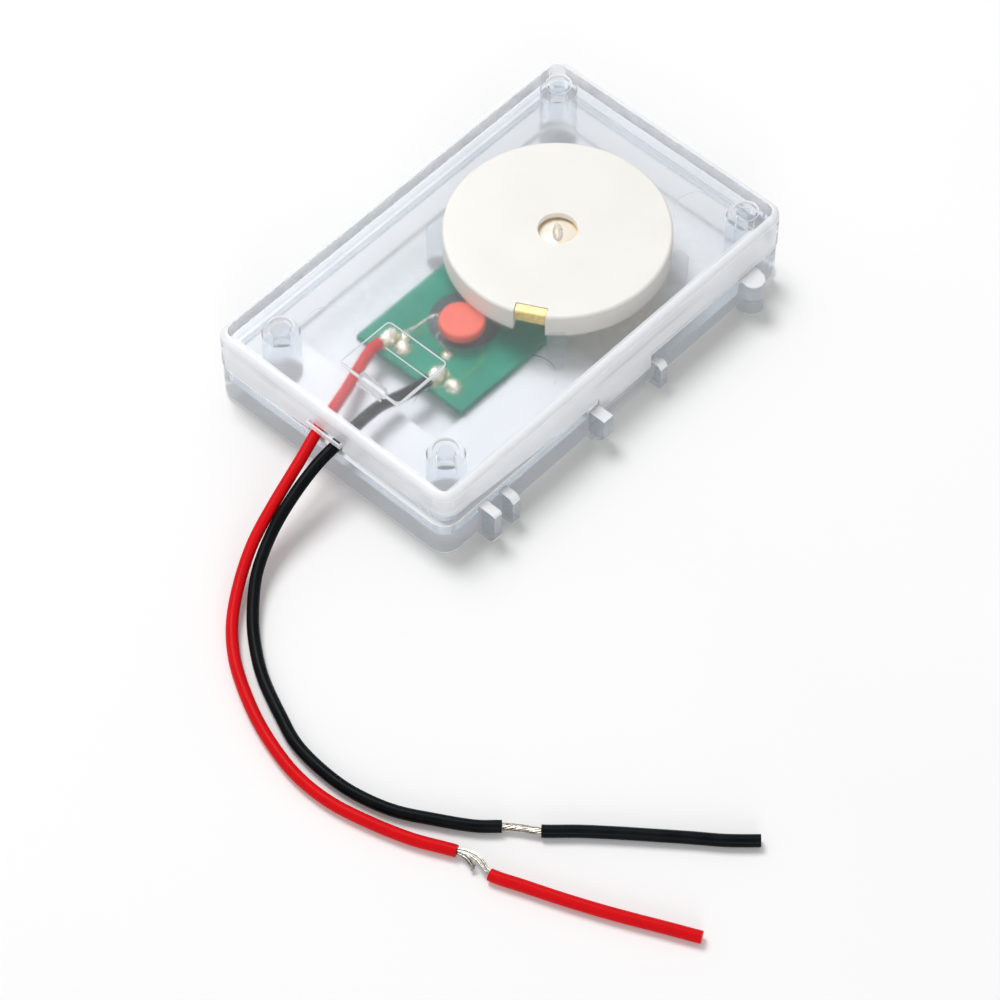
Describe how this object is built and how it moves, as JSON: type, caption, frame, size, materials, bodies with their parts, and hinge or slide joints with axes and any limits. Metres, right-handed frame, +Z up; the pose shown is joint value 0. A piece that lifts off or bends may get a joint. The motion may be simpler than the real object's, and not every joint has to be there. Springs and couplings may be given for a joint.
{
  "type": "melody module",
  "caption": "Frosted two-part case that holds a melody board and a flat piezo speaker, with a red and a black flying lead for power.",
  "frame": {"origin": "centre of the case's plan, on the flat underside of the base", "axes": "+X along the case's long side, away from the end where the leads come out; +Y across it, away from the side with the latch and the lugs; +Z up, out of the lid's top"},
  "size_m": [0.1016, 0.1004, 0.012],
  "materials": {
    "case_plastic": "frosted clear polypropylene",
    "board_laminate": "green solder mask on fibreglass",
    "copper_foil": "tinned copper foil",
    "silicon": "silicon die",
    "epoxy": "black epoxy resin",
    "capacitor_coat": "salmon red dipped coating",
    "solder": "bright tin solder",
    "housing_plastic": "cream moulded plastic",
    "brass_sheet": "rolled brass",
    "ceramic": "fired piezo ceramic",
    "wire_enamel": "red enamelled copper wire",
    "red_insulation": "red PVC",
    "black_insulation": "black PVC",
    "tinned_strands": "tinned copper strands"
  },
  "bodies": {
    "root": {"lower_case": "case_plastic", "upper_case": "case_plastic", "circuit_board": "board_laminate", "copper_tracks": "copper_foil", "melody_chip": "silicon", "chip_epoxy": "epoxy", "ceramic_capacitor": "capacitor_coat", "capacitor_wires": "solder", "lead_solder_joints": "solder", "board_solder_dots": "solder", "speaker_housing": "housing_plastic", "brass_diaphragm": "brass_sheet", "piezo_ceramic": "ceramic", "centre_solder": "solder", "speaker_wires": "wire_enamel", "speaker_wire_joints": "solder", "red_lead": "red_insulation", "red_lead_strands": "tinned_strands", "red_lead_sleeve": "red_insulation", "black_lead": "black_insulation", "black_lead_strands": "tinned_strands", "black_lead_sleeve": "black_insulation"}
  },
  "joints": []
}
